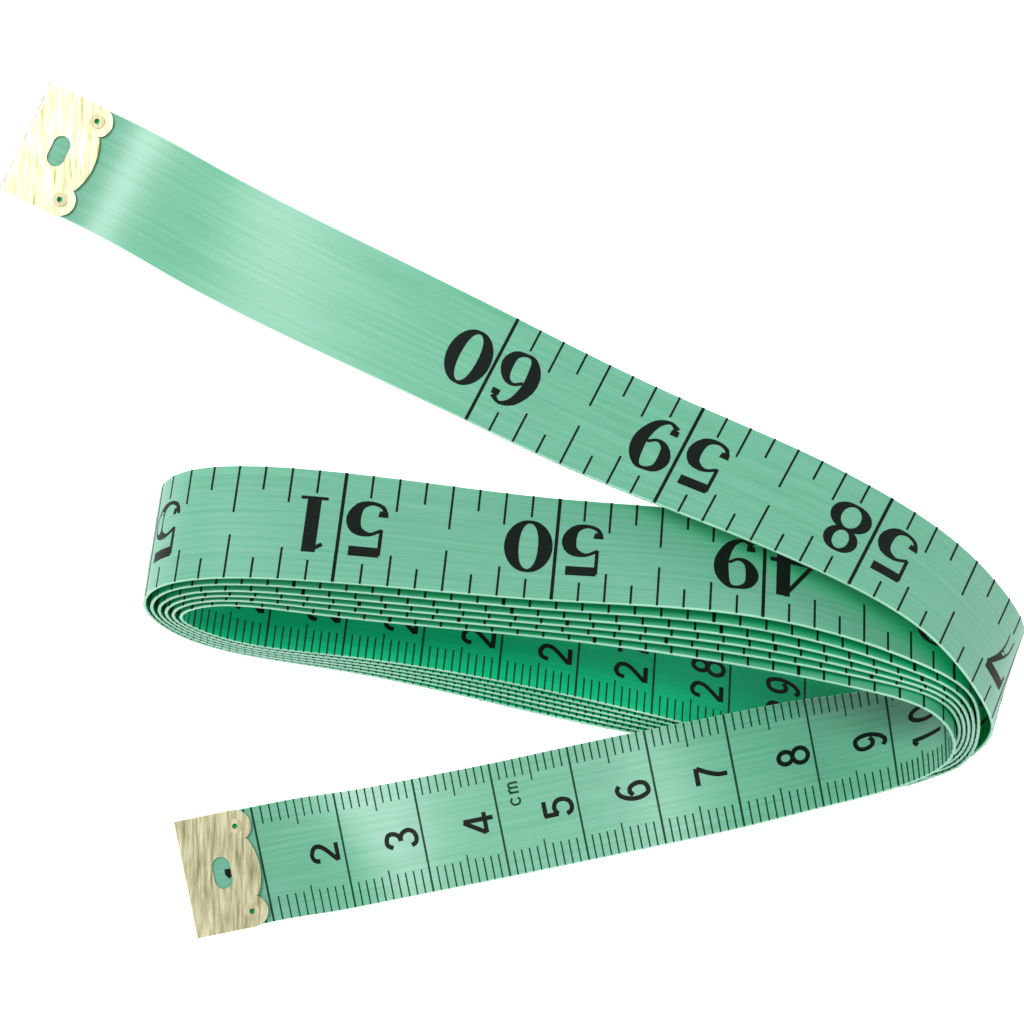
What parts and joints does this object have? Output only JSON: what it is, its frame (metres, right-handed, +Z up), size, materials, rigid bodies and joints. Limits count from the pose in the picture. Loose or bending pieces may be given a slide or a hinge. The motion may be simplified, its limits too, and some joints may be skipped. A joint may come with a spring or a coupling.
{
  "type": "tape measure",
  "caption": "Tailor's soft measuring tape, coiled on its edge, a folded metal clip on each end and both ends led out of the coil.",
  "frame": {"origin": "centre of the bounding box, on the surface the tape lies on", "axes": "+X along the coil towards its right-hand bends, +Z up, away from the surface"},
  "size_m": [0.1288, 0.1098, 0.0325],
  "materials": {
    "vinyl": "satin",
    "web": "matt",
    "clip": "brushed",
    "eyelet": "polished"
  },
  "bodies": {
    "coil": {"coil_core": "web", "coil_inch_coat": "vinyl", "coil_metric_coat": "vinyl"},
    "inch_leg_near": {"inch_leg_near_core": "web", "inch_leg_near_inch_coat": "vinyl", "inch_leg_near_metric_coat": "vinyl"},
    "inch_leg_far": {"inch_leg_far_core": "web", "inch_leg_far_inch_coat": "vinyl", "inch_leg_far_metric_coat": "vinyl", "inch_tip_clip": "clip", "inch_tip_eyelet_left": "eyelet", "inch_tip_eyelet_right": "eyelet"},
    "metric_leg_near": {"metric_leg_near_core": "web", "metric_leg_near_inch_coat": "vinyl", "metric_leg_near_metric_coat": "vinyl"},
    "metric_leg_far": {"metric_leg_far_core": "web", "metric_leg_far_inch_coat": "vinyl", "metric_leg_far_metric_coat": "vinyl", "metric_tip_clip": "clip", "metric_tip_eyelet_left": "eyelet", "metric_tip_eyelet_right": "eyelet"}
  },
  "joints": [
    {"name": "inch_root_bend", "type": "hinge", "parent": "coil", "child": "inch_leg_near", "pos_m": [0.06143, -0.01987, 0.02092], "axis": [0.3714, 0.67, -0.6428], "range_deg": [0, 12], "stiffness_Nm_per_rad": 0.01},
    {"name": "inch_mid_bend", "type": "hinge", "parent": "inch_leg_near", "child": "inch_leg_far", "pos_m": [0.02142, 0.00654, 0.02442], "axis": [0.4261, 0.7686, -0.4772], "range_deg": [0, 45], "stiffness_Nm_per_rad": 0.006},
    {"name": "metric_root_bend", "type": "hinge", "parent": "coil", "child": "metric_leg_near", "pos_m": [0.05552, -0.02368, 0.01641], "axis": [0.0792, 0.7535, -0.6526], "range_deg": [0, 10], "stiffness_Nm_per_rad": 0.01},
    {"name": "metric_mid_bend", "type": "hinge", "parent": "metric_leg_near", "child": "metric_leg_far", "pos_m": [0.00953, -0.03617, 0.01522], "axis": [-0.1791, 0.8884, -0.4226], "range_deg": [0, 45], "stiffness_Nm_per_rad": 0.006}
  ]
}
